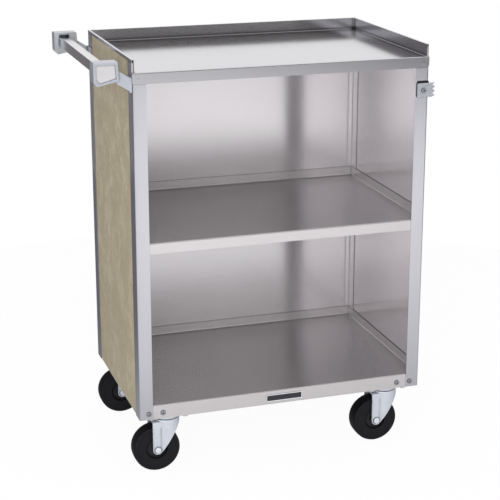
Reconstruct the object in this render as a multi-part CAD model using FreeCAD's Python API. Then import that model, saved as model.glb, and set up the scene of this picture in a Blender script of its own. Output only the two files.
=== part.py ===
"""Enclosed utility cart: three folded shelves between corner posts, clad sides and back, a push handle
on the left end and four swivel casters.

Lengths are millimetres. Pieces are laid out from the front left corner of the body at floor level:
x to the right, y to the back, z up. They are moved to the part's own frame when they are written:
its origin is on the floor, under the middle of the whole cart, and the open front faces -y.
"""
import FreeCAD, Part
import math
import os

from FreeCAD import Vector

# Body
body_length = 632.0
body_depth = 409.0
body_height = 759.0
post_face_width = 28.6
post_side_width = 34.0
rim_height = 25.5
hem_height = 6.0
top_lip_height = 23.0
top_lip_corner = 6.0
middle_deck_height = 384.0
middle_lip_height = 22.5
rail_height = 30.7
shelf_flange_height = 20.5
back_return_width = 29.0
hem_mouth_depth = 12.0

# Sheet gauges and folds
post_sheet = 1.6
shelf_sheet = 1.2
panel_sheet = 0.9
laminate_sheet = 0.8
bolster_sheet = 2.0
fold_radius = 1.4
fold_lap = 1.0
hem_edge_radius = 0.5
flush_step = 0.4
seam_gap = 0.2

# Caster positions and bolsters
caster_inset_x = 66.0
caster_inset_y = 40.5
bolster_width = 108.0

# Caster wheel and axle
wheel_diameter = 101.6
wheel_width = 32.0
tread_flat = 18.0
tread_drop = 1.2
tyre_shoulder = 3.5
tyre_inner_radius = 19.0
tyre_dish_radius = 23.0
tyre_dish_depth = 3.0
hub_boss_radius = 10.5
hub_web_width = 22.0
hub_edge_chamfer = 1.5
sleeve_radius = 6.5
axle_radius = 4.0
axle_head_radius = 6.5
axle_head_height = 4.0
axle_head_edge = 1.6
axle_nut_flats = 13.0
axle_nut_height = 6.5
axle_tail = 2.0

# Caster fork
caster_trail = 24.0
fork_sheet = 2.5
leg_radius = 10.5
leg_clearance = 5.5
leg_bend = 4.0
disc_radius = 29.0
disc_rise = 4.5
disc_bend = 3.5
disc_skirt = 7.5
disc_corner = 3.0
wheel_clearance = 10.9

# Caster swivel
plate_length = 92.0
plate_width = 60.0
plate_thickness = 3.0
plate_corner = 8.0
plate_bolt_x = 73.0
plate_bolt_y = 44.5
ball_radius = 3.5
ball_circle = 20.0
ball_count = 8
ball_play = 0.3
groove_depth = 1.0
cup_web = 2.2
cup_wall = 3.0
cup_gap = 1.3
kingpin_radius = 7.0
kingpin_head_radius = 10.0
kingpin_head_height = 2.5
kingpin_foot_radius = 11.0
kingpin_foot_height = 3.0
kingpin_foot_chamfer = 1.0
kingpin_play = 0.3

# Fasteners
bolt_radius = 3.9
bolt_head_flats = 12.7
bolt_head_height = 4.5
bolt_nut_height = 6.0
screw_radius = 2.4
screw_head_radius = 5.0
screw_head_height = 2.8
screw_head_edge = 1.2
screw_reach = 8.0
screw_cross_length = 4.6
screw_cross_width = 1.0
screw_cross_depth = 1.3
base_screw_post_x = 20.0
base_screw_rail_x = 50.5
base_screw_height = 12.5

# Handle
handle_reach = 78.0
handle_tube_size = 21.0
handle_tube_wall = 1.5
handle_tube_corner = 2.0
handle_tube_inset = 11.0
handle_tube_top_drop = 9.0
bracket_overhang = 10.0
bracket_thickness = 30.0
bracket_length = 49.0
bracket_top_drop = 0.5
bracket_outer_height = 47.0
bracket_inner_height = 38.0
bracket_lean = 2.0
bracket_corner_rise = 8.0
bracket_corner_run = 7.0
bracket_edge_radius = 2.0
bracket_frame = 5.5
bracket_recess = 3.0
insert_thickness = 1.5
socket_depth = 16.0
socket_headroom = 5.0
neck_thickness = 9.0
neck_height = 27.0
neck_drop = 18.0
flange_thickness = 4.0
flange_height = 33.0
flange_bottom_drop = 66.0
flange_corner = 5.0
flange_screw_spacing = 16.0
flange_screw_setback = 12.0
handle_screw_head_radius = 4.2
handle_screw_head_height = 2.2

# Keeper plate and nameplate
keeper_overhang = 13.0
keeper_length = 39.0
keeper_height = 30.0
keeper_top_drop = 80.0
keeper_sheet = 2.5
keeper_corner = 2.5
keeper_corner_cut = 7.0
keeper_notch_count = 3
keeper_notch_pitch = 9.0
keeper_notch_depth = 5.0
keeper_tooth_tip = 1.0
keeper_pad_sheet = 2.0
keeper_pad_rise = 3.5
keeper_pad_inset = 1.5
keeper_screw_x = 14.0
keeper_screw_rise = 14.5
nameplate_length = 81.0
nameplate_height = 15.2
nameplate_sheet = 0.8
nameplate_corner = 1.5
nameplate_shift = 3.0

# Running and hole clearances
running_gap = 0.05
hole_gap = 0.15
hub_end_gap = 0.5
socket_gap = 0.2

# Levels that follow from the stack of each caster
axle_height = wheel_diameter / 2
crown_top = wheel_diameter + wheel_clearance + fork_sheet
disc_top = crown_top + disc_rise
cup_bottom = disc_top + cup_gap
race_bottom = disc_top + 2 * ball_radius - 2 * groove_depth + ball_play
ball_height = race_bottom + groove_depth - ball_radius
plate_bottom = race_bottom + cup_web
body_bottom = plate_bottom + plate_thickness

# Levels of the body
body_top = body_bottom + body_height
top_deck = body_top - rim_height
middle_deck = body_bottom + middle_deck_height
bottom_deck = body_bottom + rail_height
outer_fold = fold_radius + shelf_sheet

# Layers of the side and back walls, measured in from the outside of the posts
laminate_in = post_sheet + laminate_sheet
wall_in = laminate_in + panel_sheet
shelf_in = wall_in + panel_sheet
wall_front = post_sheet + fold_radius + seam_gap
wall_back = body_depth - wall_front

# Widths across each fork
leg_inner = wheel_width / 2 + leg_clearance
leg_outer = leg_inner + fork_sheet

pieces = {}


def box(x, y, z):
    """Block between the pairs of limits x, y and z."""
    return Part.makeBox(x[1] - x[0], y[1] - y[0], z[1] - z[0], Vector(x[0], y[0], z[0]))


def rod(radius, base, axis, length):
    """Cylinder from base along axis."""
    return Part.makeCylinder(radius, length, base, axis)


def edges_along(shape, points):
    """Edges of shape whose middle lies at one of the points."""
    found = []
    for edge in shape.Edges:
        middle = edge.BoundBox.Center
        if any(middle.distanceToPoint(point) < 0.01 for point in points):
            found.append(edge)
    return found


def placed(axis, u, v, w):
    """Point with profile coordinates u, v and distance w along the named axis."""
    return {"x": Vector(w, u, v), "y": Vector(u, w, v), "z": Vector(u, v, w)}[axis]


def prism(axis, outline, start, end):
    """Straight-sided solid: the outline (u, v points) carried along the axis from start to end."""
    wire = Part.makePolygon([placed(axis, u, v, start) for u, v in outline + outline[:1]])
    return Part.Face(wire).extrude(placed(axis, 0, 0, end - start))


def folded_sheet(axis, path, sheet, start, end):
    """Sheet with square folds. The path is its outer line, and the sheet lies on the left of it."""
    steps = []
    for (u0, v0), (u1, v1) in zip(path, path[1:]):
        length = math.hypot(u1 - u0, v1 - v0)
        steps.append(((u1 - u0) / length, (v1 - v0) / length))
    inner = []
    for index, (u, v) in enumerate(path):
        before = steps[max(index - 1, 0)]
        after = steps[min(index, len(steps) - 1)]
        share = 1 + before[0] * after[0] + before[1] * after[1]
        inner.append((u - sheet * (before[1] + after[1]) / share, v + sheet * (before[0] + after[0]) / share))
    solid = prism(axis, path + inner[::-1], start, end)
    middle = (start + end) / 2
    for index in range(1, len(path) - 1):
        turn = steps[index - 1][0] * steps[index][1] - steps[index - 1][1] * steps[index][0]
        inside, outside = (inner[index], path[index]) if turn > 0 else (path[index], inner[index])
        for radius, (u, v) in ((fold_radius, inside), (fold_radius + sheet, outside)):
            solid = solid.makeFillet(radius, edges_along(solid, [placed(axis, u, v, middle)]))
    return solid


def tray(x, y, z, radius, open_front):
    """Block with its bottom edges and upright corners rounded, save those of an open front."""
    solid = box(x, y, z)
    xm = sum(x) / 2
    ym = sum(y) / 2
    zm = sum(z) / 2
    points = [Vector(x[0], ym, z[0]), Vector(x[1], ym, z[0]), Vector(xm, y[1], z[0])]
    points += [Vector(x[0], y[1], zm), Vector(x[1], y[1], zm)]
    if not open_front:
        points += [Vector(xm, y[0], z[0]), Vector(x[0], y[0], zm), Vector(x[1], y[0], zm)]
    return solid.makeFillet(radius, edges_along(solid, points))


def rounded_plate(axis, u, v, w, radius):
    """Flat plate across the axis, between the limits u, v and w, with rounded corners."""
    solid = prism(axis, [(u[0], v[0]), (u[1], v[0]), (u[1], v[1]), (u[0], v[1])], w[0], w[1])
    middle = sum(w) / 2
    corners = [placed(axis, corner_u, corner_v, middle) for corner_u in u for corner_v in v]
    return solid.makeFillet(radius, edges_along(solid, corners))


def mirrored_x(shape):
    """The same shape on the other end of the body."""
    return shape.mirror(Vector(body_length / 2, 0, 0), Vector(1, 0, 0))


def mirrored_y(shape):
    """The same shape at the other face of the body."""
    return shape.mirror(Vector(0, body_depth / 2, 0), Vector(0, 1, 0))


def base_screw_places():
    """Screw axes along the foot of the front and the back: (x, y of the face, direction outwards)."""
    places = []
    for offset, back_step in ((base_screw_post_x, 0.0), (base_screw_rail_x, post_sheet)):
        front_step = 0.0 if offset < post_face_width else flush_step
        for x in (offset, body_length - offset):
            places.append((x, front_step, -1))
            places.append((x, body_depth - back_step, 1))
    return places


def drill_base(shape):
    """Clear the base screws' shanks through a sheet at the foot of the body."""
    for x, y, outwards in base_screw_places():
        base = Vector(x, y + outwards * screw_head_height, body_bottom + base_screw_height)
        shape = shape.cut(rod(screw_radius + hole_gap, base, Vector(0, -outwards, 0), 2 * screw_reach))
    return shape


def round_head(base, outwards, radius, height, edge_radius):
    """Round head standing on base, with its outer rim rounded."""
    head = rod(radius, base, outwards, height)
    crown = base + outwards * height
    rim = [edge for edge in head.Edges if edge.BoundBox.Center.distanceToPoint(crown) < 0.01]
    return head.makeFillet(edge_radius, rim)


def pan_screw(base, outwards):
    """Cross-recessed pan-head screw on a face at base. Outwards is the way its head faces, along y."""
    head = round_head(base, outwards, screw_head_radius, screw_head_height, screw_head_edge)
    screw = head.fuse(rod(screw_radius, base, outwards * -1, screw_reach))
    crown = base + outwards * screw_head_height
    y = (crown.y - screw_cross_depth, crown.y + screw_cross_depth)
    long = screw_cross_length / 2
    short = screw_cross_width / 2
    slots = [box((base.x - across, base.x + across), y, (base.z - up, base.z + up))
             for across, up in ((long, short), (short, long))]
    return screw.cut(slots)


def hexagon(flats, base, axis, height):
    """Hexagonal prism standing on base along axis."""
    corner = flats / math.sqrt(3)
    side = Vector(0, 0, 1) if abs(axis.z) < 0.5 else Vector(1, 0, 0)
    across = axis.cross(side)
    turns = [math.radians(60 * step) for step in range(7)]
    ring = [base + side * (corner * math.cos(turn)) + across * (corner * math.sin(turn)) for turn in turns]
    return Part.Face(Part.makePolygon(ring)).extrude(axis * height)


def revolved(profile, centre, axis):
    """Solid turned from (radius, height) points about the axis through centre."""
    side = Vector(1, 0, 0)
    points = [centre + side * radius + axis * height for radius, height in profile + profile[:1]]
    return Part.Face(Part.makePolygon(points)).revolve(centre, axis, 360)


# Posts
def front_left_post():
    """Angle with its front face cut off under the top deck and its side carried up to the hem."""
    path = [(0, post_side_width), (0, 0), (post_face_width, 0)]
    top = body_top - hem_height - seam_gap
    post = folded_sheet("z", path, post_sheet, body_bottom, top)
    lip_fold = top_deck - outer_fold - seam_gap
    notch = box((-1, post_face_width + 1), (-1, wall_front), (lip_fold, top + 1))
    return drill_base(post.cut(notch))


def rear_left_post():
    """Plain angle up to the hem."""
    path = [(post_face_width, body_depth), (0, body_depth), (0, body_depth - post_side_width)]
    top = body_top - hem_height - seam_gap
    return drill_base(folded_sheet("z", path, post_sheet, body_bottom, top))


# Side and back walls
def left_wall(outer, inner):
    """One flat layer of the left wall, between two depths in. It stops short of the hem's front end."""
    top = body_top - shelf_sheet - seam_gap
    wall = box((outer, inner), (wall_front, wall_back), (body_bottom, top))
    mouth_y = (wall_front - 1, wall_front + hem_mouth_depth)
    return wall.cut(box((outer, inner), mouth_y, (body_top - hem_height, top + 1)))


def back_laminate():
    """Flat outer layer of the back, between the side walls."""
    x = (wall_in, body_length - wall_in)
    y = (body_depth - laminate_in, body_depth - post_sheet)
    return drill_base(box(x, y, (body_bottom, body_top - shelf_sheet - seam_gap)))


def back_panel():
    """Steel back with a return folded forward along each side wall."""
    front = body_depth - wall_in - back_return_width
    back = body_depth - laminate_in
    left = wall_in
    right = body_length - wall_in
    path = [(right, front), (right, back), (left, back), (left, front)]
    top = body_top - shelf_sheet - seam_gap
    return drill_base(folded_sheet("z", path, panel_sheet, body_bottom, top))


# Shelves
def shelf_pan(deck, flange_height, front):
    """Deck with a raised flange on the left, back and right, all folds rounded."""
    x = (shelf_in, body_length - shelf_in)
    y = (front, body_depth - wall_in)
    z = (deck - shelf_sheet, deck + flange_height)
    hollow_x = (x[0] + shelf_sheet, x[1] - shelf_sheet)
    hollow_y = (front - 1, y[1] - shelf_sheet)
    hollow = tray(hollow_x, hollow_y, (deck, z[1] + 1), fold_radius, True)
    return tray(x, y, z, outer_fold, True).cut(hollow)


def front_lip(deck, height, x, face):
    """Strip of deck folded down at the front, its outer face at y = face."""
    path = [(face + outer_fold + fold_lap, deck), (face, deck), (face, deck - height)]
    return folded_sheet("x", path, shelf_sheet, x[0], x[1])


def top_shelf():
    """Tray with a rim hemmed over the walls and a lip that laps the front of the posts."""
    lip_face = -shelf_sheet
    lip = front_lip(top_deck, top_lip_height, (0, body_length), lip_face)
    lip_bottom = top_deck - top_lip_height
    corners = [Vector(x, lip_face + shelf_sheet / 2, lip_bottom) for x in (0, body_length)]
    lip = lip.makeFillet(top_lip_corner, edges_along(lip, corners))
    pan = shelf_pan(top_deck, rim_height, lip_face + outer_fold)
    hem_x = (flush_step, body_length - flush_step)
    hem_y = (wall_front, body_depth - flush_step)
    hem = box(hem_x, hem_y, (body_top - hem_height, body_top))
    middle_y = sum(hem_y) / 2
    rim = [Vector(x, middle_y, body_top) for x in hem_x] + [Vector(body_length / 2, hem_y[1], body_top)]
    hem = hem.makeFillet(hem_edge_radius, edges_along(hem, rim))
    wall_x = (post_sheet, body_length - post_sheet)
    wall_z = (body_top - hem_height - 1, body_top - shelf_sheet)
    hem = hem.cut(box(wall_x, (-1, body_depth - post_sheet), wall_z))
    inside = shelf_in + shelf_sheet
    opening_y = (-1, body_depth - wall_in - shelf_sheet)
    hem = hem.cut(box((inside, body_length - inside), opening_y, (body_top - hem_height, body_top + 1)))
    return lip.fuse([pan, hem]).removeSplitter()


def lower_shelf(deck, lip_height):
    """Flanged deck with a front lip that fits between the posts, nearly flush with them."""
    pan = shelf_pan(deck, shelf_flange_height, post_sheet)
    x = (post_face_width + seam_gap, body_length - post_face_width - seam_gap)
    lip = front_lip(deck, lip_height, x, flush_step)
    return drill_base(pan.fuse(lip).removeSplitter())


# Caster bolsters
def left_bolster():
    """Open tray under the bottom deck, from the front rail to the back, drilled for two casters."""
    middle = caster_inset_x
    x = (middle - bolster_width / 2, middle + bolster_width / 2)
    y = (post_sheet, body_depth - wall_in)
    z = (body_bottom, bottom_deck - shelf_sheet)
    outer = tray(x, y, z, fold_radius + bolster_sheet, False)
    hollow_x = (x[0] + bolster_sheet, x[1] - bolster_sheet)
    hollow_y = (y[0] + bolster_sheet, y[1] - bolster_sheet)
    hollow = tray(hollow_x, hollow_y, (z[0] + bolster_sheet, z[1] + 1), fold_radius, False)
    relief = box(x, (0, post_sheet + fold_radius), (z[1] - fold_radius, z[1] + 1))
    bolster = outer.cut([hollow, relief])
    for y_swivel in (caster_inset_y, body_depth - caster_inset_y):
        bolster = bolster.cut(plate_drills(Vector(caster_inset_x, y_swivel, 0)))
    return drill_base(bolster)


def plate_bolt_places(swivel):
    """Bolt axes of the caster plate about a swivel axis."""
    return [swivel + Vector(side * plate_bolt_x / 2, face * plate_bolt_y / 2, 0)
            for side in (-1, 1) for face in (-1, 1)]


def plate_drills(swivel):
    """Holes for the bolts of one caster plate, through the plate and the bolster."""
    drills = []
    for place in plate_bolt_places(swivel):
        base = place + Vector(0, 0, plate_bottom - 1)
        drills.append(rod(bolt_radius + hole_gap, base, Vector(0, 0, 1), plate_thickness + bolster_sheet + 2))
    return Part.makeCompound(drills)


def caster_bolt(place):
    """Hex bolt with its head under the caster plate and its nut in the bolster."""
    up = Vector(0, 0, 1)
    foot = place + Vector(0, 0, plate_bottom - bolt_head_height)
    seat = place + Vector(0, 0, body_bottom + bolster_sheet)
    shank = rod(bolt_radius, foot, up, bolt_head_height + plate_thickness + bolster_sheet + bolt_nut_height)
    head = hexagon(bolt_head_flats, foot, up, bolt_head_height)
    nut = hexagon(bolt_head_flats, seat, up, bolt_nut_height)
    return shank.fuse([head, nut]).removeSplitter()


# Casters
def caster_plate(swivel):
    """Mounting plate with bolt holes, a countersunk pin hole and a cup that covers the ball race."""
    x = (swivel.x - plate_length / 2, swivel.x + plate_length / 2)
    y = (swivel.y - plate_width / 2, swivel.y + plate_width / 2)
    plate = rounded_plate("z", x, y, (plate_bottom, body_bottom), plate_corner)
    foot = swivel + Vector(0, 0, cup_bottom)
    up = Vector(0, 0, 1)
    cup = rod(disc_radius, foot, up, plate_bottom - cup_bottom)
    recess = rod(disc_radius - cup_wall, foot, up, race_bottom - cup_bottom)
    groove = Part.makeTorus(ball_circle, ball_radius + running_gap, swivel + Vector(0, 0, ball_height))
    return plate.fuse(cup).cut([recess, groove, plate_drills(swivel), kingpin_solid(swivel, hole_gap)])


def kingpin_solid(swivel, gap):
    """Pin with a countersunk head in the plate and a riveted foot under the fork, grown by gap."""
    foot_top = disc_top - fork_sheet - kingpin_play
    foot_bottom = foot_top - kingpin_foot_height
    head_bottom = body_bottom - kingpin_head_height
    shank = kingpin_radius - running_gap + gap
    foot = kingpin_foot_radius + gap
    profile = [(0, foot_bottom), (foot - kingpin_foot_chamfer, foot_bottom),
               (foot, foot_bottom + kingpin_foot_chamfer), (foot, foot_top), (shank, foot_top),
               (shank, head_bottom), (kingpin_head_radius + gap, body_bottom), (0, body_bottom)]
    return revolved(profile, swivel, Vector(0, 0, 1))


def swivel_balls(swivel):
    """Balls spaced round the race."""
    balls = []
    for step in range(ball_count):
        turn = math.radians(360 * step / ball_count)
        offset = Vector(ball_circle * math.cos(turn), ball_circle * math.sin(turn), ball_height)
        balls.append(Part.makeSphere(ball_radius, swivel + offset))
    return Part.makeCompound(balls)


def fork_block(swivel, inset):
    """Flat legs and a round raised disc, drawn in by inset at the sides and top, out at the open ends."""
    left = swivel.x - caster_trail - leg_radius - inset
    bottom = axle_height - leg_radius - inset
    half = leg_outer - inset
    legs = box((left, swivel.x), (swivel.y - half, swivel.y + half), (bottom, crown_top - inset))
    middle = (left + swivel.x) / 2
    bends = [Vector(middle, swivel.y + side * half, crown_top - inset) for side in (-1, 1)]
    legs = legs.makeFillet(leg_bend - inset, edges_along(legs, bends))
    height = disc_top - inset - bottom
    foot = swivel + Vector(0, 0, bottom)
    return legs.fuse(round_head(foot, Vector(0, 0, 1), disc_radius - inset, height, disc_bend - inset))


def fork_side(swivel, axle):
    """Side view of the fork: upright back edge, round foot at the axle and a slope up to the disc."""
    left = axle.x - leg_radius
    tip = swivel.x + disc_radius
    skirt = disc_top - disc_skirt
    run = tip - axle.x
    rise = skirt - axle_height
    slope = math.atan2(rise, run) - math.acos(leg_radius / math.hypot(run, rise))
    near = swivel.y - disc_radius - 1
    foot = []
    for turn in (slope, (slope - math.pi) / 2, -math.pi):
        spoke = Vector(math.cos(turn), 0, math.sin(turn)) * leg_radius
        foot.append(Vector(axle.x, near, axle.z) + spoke)
    corners = [Vector(left, near, disc_top), Vector(tip, near, disc_top), Vector(tip, near, skirt)]
    edges = [Part.Arc(foot[0], foot[1], foot[2]).toShape()]
    edges += [Part.makeLine(start, end)
              for start, end in zip([foot[2]] + corners, corners + [foot[0]])]
    side = Part.Face(Part.Wire(edges)).extrude(Vector(0, 2 * (disc_radius + 1), 0))
    return side.makeFillet(disc_corner, edges_along(side, [Vector(tip, swivel.y, skirt)]))


def fork(swivel, axle):
    """Pressed fork: crown and two legs in one sheet, with the lower half of the ball race."""
    shell = fork_block(swivel, 0).cut(fork_block(swivel, fork_sheet)).common(fork_side(swivel, axle))
    groove = Part.makeTorus(ball_circle, ball_radius + ball_play, swivel + Vector(0, 0, ball_height))
    pin_hole = rod(kingpin_radius, swivel + Vector(0, 0, crown_top), Vector(0, 0, 1), disc_rise + 1)
    axle_base = axle - Vector(0, leg_outer + 1, 0)
    axle_hole = rod(axle_radius + hole_gap, axle_base, Vector(0, 1, 0), 2 * (leg_outer + 1))
    return shell.cut([groove, pin_hole, axle_hole])


def axle_bolt(axle):
    """Round-headed bolt through both legs, and its nut."""
    back = Vector(0, 1, 0)
    front_face = axle - back * leg_outer
    nut_seat = axle + back * leg_outer
    head = round_head(front_face, back * -1, axle_head_radius, axle_head_height, axle_head_edge)
    shank = rod(axle_radius, front_face, back, 2 * leg_outer + axle_nut_height + axle_tail)
    nut = hexagon(axle_nut_flats, nut_seat, back, axle_nut_height)
    nut = nut.cut(rod(axle_radius + running_gap, nut_seat, back, axle_nut_height))
    return Part.makeCompound([head.fuse(shank), nut])


def axle_sleeve(axle):
    """Tube clamped between the legs."""
    base = axle - Vector(0, leg_inner, 0)
    outer = rod(sleeve_radius, base, Vector(0, 1, 0), 2 * leg_inner)
    return outer.cut(rod(axle_radius + hole_gap, base, Vector(0, 1, 0), 2 * leg_inner))


def wheel_hub(axle):
    """Hub with long bosses and a narrow web under the tyre."""
    bore = sleeve_radius + running_gap
    end = leg_inner - hub_end_gap
    web = hub_web_width / 2
    half = [(bore, end), (hub_boss_radius - hub_edge_chamfer, end), (hub_boss_radius, end - hub_edge_chamfer),
            (hub_boss_radius, web), (tyre_inner_radius, web)]
    profile = half + [(radius, -height) for radius, height in reversed(half)]
    return revolved(profile, axle, Vector(0, 1, 0))


def tyre(axle):
    """Rubber body with a flat tread, sloping shoulders and a dished middle on each side."""
    outside = wheel_diameter / 2
    face = wheel_width / 2
    floor = face - tyre_dish_depth
    bevel = tyre_shoulder * (1 - math.sqrt(0.5))
    half = [(tyre_inner_radius, floor), (tyre_dish_radius - tyre_dish_depth / 2, floor),
            (tyre_dish_radius, face), (outside - tread_drop - tyre_shoulder, face),
            (outside - tread_drop - bevel, face - bevel), (outside - tread_drop, face - tyre_shoulder),
            (outside, tread_flat / 2)]
    profile = half + [(radius, -height) for radius, height in reversed(half)]
    return revolved(profile, axle, Vector(0, 1, 0))


# Handle
bracket_top = body_top - bracket_top_drop
bracket_right = bracket_length - handle_reach
tube_left = handle_tube_inset - handle_reach
tube_top = bracket_top - handle_tube_top_drop
flange_bottom = body_top - flange_bottom_drop


def bracket_outline(inset):
    """Outer face of the bracket's block: five corners, drawn in by inset."""
    left = -handle_reach + inset
    right = bracket_right - inset
    top = bracket_top - inset
    outer_low = bracket_top - bracket_outer_height + inset
    inner_low = bracket_top - bracket_inner_height + inset
    return [(left, top), (right, top), (right + bracket_lean, inner_low),
            (left + bracket_corner_run, outer_low), (left, outer_low + bracket_corner_rise)]


def front_handle_bracket():
    """Casting: framed block with a socket for the tube, a sloping neck and a flange on the post."""
    front = -bracket_overhang
    back = front + bracket_thickness
    outline = bracket_outline(0)
    block = prism("y", outline, front, back)
    rim = [edge for edge in block.Edges if edge.BoundBox.YMax < front + 0.01]
    uprights = edges_along(block, [placed("y", u, v, (front + back) / 2) for u, v in outline])
    block = block.makeFillet(bracket_edge_radius, rim + uprights)

    neck_top = flange_bottom + flange_height - flange_corner / 2
    neck_start = bracket_right - bracket_edge_radius
    neck = [(neck_start, neck_top + neck_drop), (-flange_thickness / 2, neck_top),
            (-flange_thickness / 2, neck_top - neck_height), (neck_start, neck_top + neck_drop - neck_height)]
    arm = prism("y", neck, 0, neck_thickness)
    flange_z = (flange_bottom, flange_bottom + flange_height)
    flange = rounded_plate("x", (0, post_side_width), flange_z, (-flange_thickness, 0), flange_corner)
    casting = block.fuse([arm, flange]).removeSplitter()

    recess = prism("y", bracket_outline(bracket_frame), front - 1, front + bracket_recess)
    socket_x = (tube_left - socket_gap, tube_left + handle_tube_size + socket_gap)
    socket_z = (tube_top - handle_tube_size, tube_top + socket_headroom)
    socket = box(socket_x, (back - socket_depth, back + 1), socket_z)
    casting = casting.cut([recess, socket])
    for place in handle_screw_places():
        casting = casting.cut(handle_screw(place, hole_gap))
    return casting


def bracket_insert():
    """Flat insert at the bottom of the block's recess."""
    floor = -bracket_overhang + bracket_recess
    return prism("y", bracket_outline(bracket_frame + socket_gap), floor - insert_thickness, floor)


def handle_screw_places():
    """Screw axes through the front bracket's flange."""
    middle = flange_bottom + flange_height / 2
    y = post_side_width - flange_screw_setback
    return [Vector(0, y, middle + side * flange_screw_spacing / 2) for side in (-1, 1)]


def handle_screw(place, gap):
    """Countersunk screw, flush with the flange, grown by gap."""
    shank = screw_radius + gap
    profile = [(0, -flange_thickness - gap), (handle_screw_head_radius + gap, -flange_thickness - gap),
               (handle_screw_head_radius + gap, -flange_thickness),
               (shank, handle_screw_head_height - flange_thickness), (shank, screw_reach), (0, screw_reach)]
    points = [Vector(place.x + height, place.y, place.z + radius) for radius, height in profile + profile[:1]]
    return Part.Face(Part.makePolygon(points)).revolve(place, Vector(1, 0, 0), 360)


def handle_tube():
    """Square tube from one socket to the other."""
    end = bracket_thickness - bracket_overhang - socket_depth + seam_gap
    y = (end, body_depth - end)
    x = (tube_left, tube_left + handle_tube_size)
    z = (tube_top - handle_tube_size, tube_top)
    outer = rounded_plate("y", x, z, y, handle_tube_corner)
    wall = handle_tube_wall
    bore_x = (x[0] + wall, x[1] - wall)
    bore_z = (z[0] + wall, z[1] - wall)
    return outer.cut(rounded_plate("y", bore_x, bore_z, y, handle_tube_corner - wall))


# Keeper plate and nameplate
keeper_right = body_length + keeper_overhang
keeper_left = keeper_right - keeper_length
keeper_top = body_top - keeper_top_drop
keeper_bottom = keeper_top - keeper_height
keeper_screw_place = Vector(keeper_left + keeper_screw_x, 0, keeper_bottom + keeper_screw_rise)


def keeper_drill(shape):
    """Clear the keeper's screw through the plate, the pad and the post."""
    base = keeper_screw_place - Vector(0, screw_reach, 0)
    return shape.cut(rod(screw_radius + hole_gap, base, Vector(0, 1, 0), 2 * screw_reach))


def keeper_plate():
    """Plate that stands past the post, with pointed notches in its free edge and its foot cut off there."""
    y = (-keeper_pad_sheet - keeper_sheet, -keeper_pad_sheet)
    outline = [(keeper_left, keeper_top), (keeper_left, keeper_bottom)]
    outline.append((keeper_right - keeper_corner_cut, keeper_bottom))
    for step in range(keeper_notch_count, 0, -1):
        tooth = keeper_top - keeper_notch_pitch * step
        valley = tooth + (keeper_notch_pitch + keeper_tooth_tip) / 2
        outline += [(keeper_right, tooth), (keeper_right, tooth + keeper_tooth_tip),
                    (keeper_right - keeper_notch_depth, valley)]
    plate = prism("y", outline + [(keeper_right, keeper_top)], y[0], y[1])
    corners = [Vector(keeper_left, sum(y) / 2, level) for level in (keeper_bottom, keeper_top)]
    return keeper_drill(plate.makeFillet(keeper_corner, edges_along(plate, corners)))


def keeper_pad():
    """Pad behind the plate, showing above its top edge."""
    x = (keeper_left + keeper_pad_inset, body_length)
    return keeper_drill(box(x, (-keeper_pad_sheet, 0), (keeper_bottom, keeper_top + keeper_pad_rise)))


def nameplate():
    """Small blank plate near the middle of the bottom rail."""
    middle = body_length / 2 + nameplate_shift
    x = (middle - nameplate_length / 2, middle + nameplate_length / 2)
    level = body_bottom + (rail_height - outer_fold) / 2
    z = (level - nameplate_height / 2, level + nameplate_height / 2)
    return rounded_plate("y", x, z, (flush_step - nameplate_sheet, flush_step), nameplate_corner)


# Assembly
pieces["top_shelf"] = top_shelf()
pieces["middle_shelf"] = lower_shelf(middle_deck, middle_lip_height)
pieces["bottom_shelf"] = lower_shelf(bottom_deck, rail_height)

left_front = front_left_post()
left_rear = rear_left_post()
for place in handle_screw_places():
    left_front = left_front.cut(handle_screw(place, hole_gap))
    left_rear = left_rear.cut(mirrored_y(handle_screw(place, hole_gap)))
pieces["front_left_post"] = left_front
pieces["rear_left_post"] = left_rear
pieces["front_right_post"] = keeper_drill(mirrored_x(front_left_post()))
pieces["rear_right_post"] = mirrored_x(rear_left_post())

for layer, outer, inner in (("laminate", post_sheet, laminate_in), ("panel", laminate_in, wall_in)):
    wall = left_wall(outer, inner)
    pieces["right_" + layer] = mirrored_x(wall)
    for place in handle_screw_places():
        screw = handle_screw(place, hole_gap)
        wall = wall.cut([screw, mirrored_y(screw)])
    pieces["left_" + layer] = wall
pieces["back_laminate"] = back_laminate()
pieces["back_panel"] = back_panel().cut(
    [mirrored_y(handle_screw(place, hole_gap)) for place in handle_screw_places()])

pieces["left_bolster"] = left_bolster()
pieces["right_bolster"] = mirrored_x(left_bolster())
pieces["base_screws"] = Part.makeCompound([
    pan_screw(Vector(x, y, body_bottom + base_screw_height), Vector(0, outwards, 0))
    for x, y, outwards in base_screw_places()])
pieces["nameplate"] = nameplate()

pieces["handle_tube"] = handle_tube()
pieces["front_handle_bracket"] = front_handle_bracket()
pieces["rear_handle_bracket"] = mirrored_y(front_handle_bracket())
pieces["front_bracket_insert"] = bracket_insert()
pieces["rear_bracket_insert"] = mirrored_y(bracket_insert())
screws = Part.makeCompound([handle_screw(place, 0) for place in handle_screw_places()])
pieces["handle_screws"] = Part.makeCompound([screws, mirrored_y(screws)])

pieces["keeper_plate"] = keeper_plate()
pieces["keeper_pad"] = keeper_pad()
keeper_face = keeper_screw_place - Vector(0, keeper_pad_sheet + keeper_sheet, 0)
pieces["keeper_screw"] = pan_screw(keeper_face, Vector(0, -1, 0))

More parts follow.
